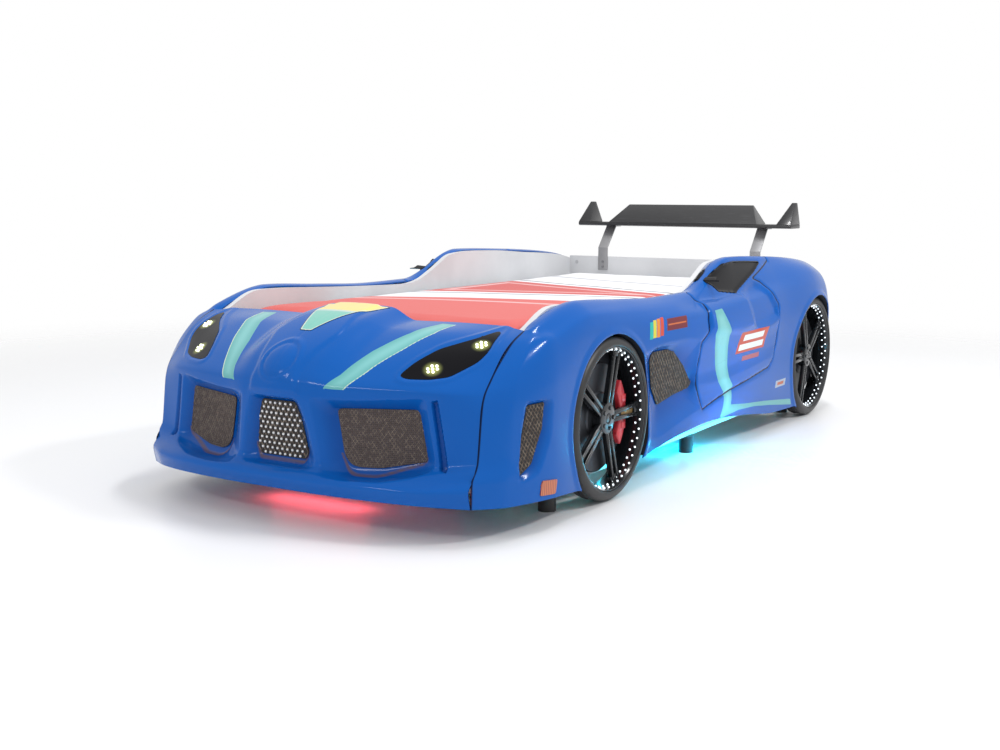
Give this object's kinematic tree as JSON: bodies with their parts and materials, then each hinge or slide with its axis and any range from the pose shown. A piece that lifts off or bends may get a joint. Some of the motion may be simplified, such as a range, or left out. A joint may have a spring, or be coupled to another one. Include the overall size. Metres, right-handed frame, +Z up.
{
  "type": "children's car bed",
  "caption": "Children's single bed shaped like a low racing car, with moulded body panels, wheels, rear wing, slatted base and a loose mattress.",
  "frame": {"origin": "on the floor under the middle of the overall box", "axes": "+Z up, the car's nose points along -Y, +X is the car's left side"},
  "size_m": [1.1752, 2.3982, 0.732],
  "materials": {
    "amber_plastic": "amber",
    "badge": "printed, bare",
    "black_plastic": "matte",
    "board": "white laminate",
    "body_shell": "gloss blue moulded plastic",
    "bracket_steel": "grey powder coat",
    "brake_caliper": "gloss red",
    "brake_disc": "brown metallic",
    "cap_plastic": "matte",
    "frame_wood": "plain",
    "gloss_black": "gloss black",
    "grille": "printed mesh",
    "led": "clear lamps",
    "light_strip": "clear",
    "mattress_cover": "printed quilted cover",
    "rim": "gloss black",
    "screw_steel": "zinc plated",
    "slat_wood": "plain",
    "tyre": "satin black moulded tyre",
    "window_black": "gloss black"
  },
  "bodies": {
    "bed": {"board_bolts": "screw_steel", "bracket_screws": "screw_steel", "brake_calipers": "brake_caliper", "centre_beam": "frame_wood", "centre_legs": "frame_wood", "feet": "black_plastic", "footboard": "board", "front_left_brake_disc": "brake_disc", "front_left_led_ring": "led", "front_left_rim": "rim", "front_left_tyre": "tyre", "front_light_strip": "light_strip", "front_panel": "body_shell", "front_right_brake_disc": "brake_disc", "front_right_led_ring": "led", "front_right_rim": "rim", "front_right_tyre": "tyre", "headboard": "board", "headboard_caps": "cap_plastic", "hood_badge": "badge", "left_endplate": "gloss_black", "left_fender_vent": "grille", "left_grille": "grille", "left_headlight": "window_black", "left_headlight_leds": "led", "left_intake_grille": "grille", "left_light_strip": "light_strip", "left_side_board": "board", "left_side_panel": "body_shell", "left_slat_rail": "frame_wood", "left_spoiler_bracket": "bracket_steel", "left_window": "window_black", "light_controller": "black_plastic", "middle_grille": "grille", "rear_left_brake_disc": "brake_disc", "rear_left_led_ring": "led", "rear_left_rim": "rim", "rear_left_tyre": "tyre", "rear_right_brake_disc": "brake_disc", "rear_right_led_ring": "led", "rear_right_rim": "rim", "rear_right_tyre": "tyre", "right_endplate": "gloss_black", "right_fender_vent": "grille", "right_grille": "grille", "right_headlight": "window_black", "right_headlight_leds": "led", "right_intake_grille": "grille", "right_light_strip": "light_strip", "right_side_board": "board", "right_side_panel": "body_shell", "right_slat_rail": "frame_wood", "right_spoiler_bracket": "bracket_steel", "right_window": "window_black", "side_markers": "amber_plastic", "slats": "slat_wood", "spoiler_ramp": "gloss_black", "spoiler_wing": "gloss_black", "wheel_mounts": "frame_wood"},
    "mattress": {"mattress": "mattress_cover"}
  },
  "joints": [
    {"name": "mattress_lift", "type": "slide", "parent": "bed", "child": "mattress", "axis": [0, 0, 1], "range_m": [0, 0.35]}
  ]
}
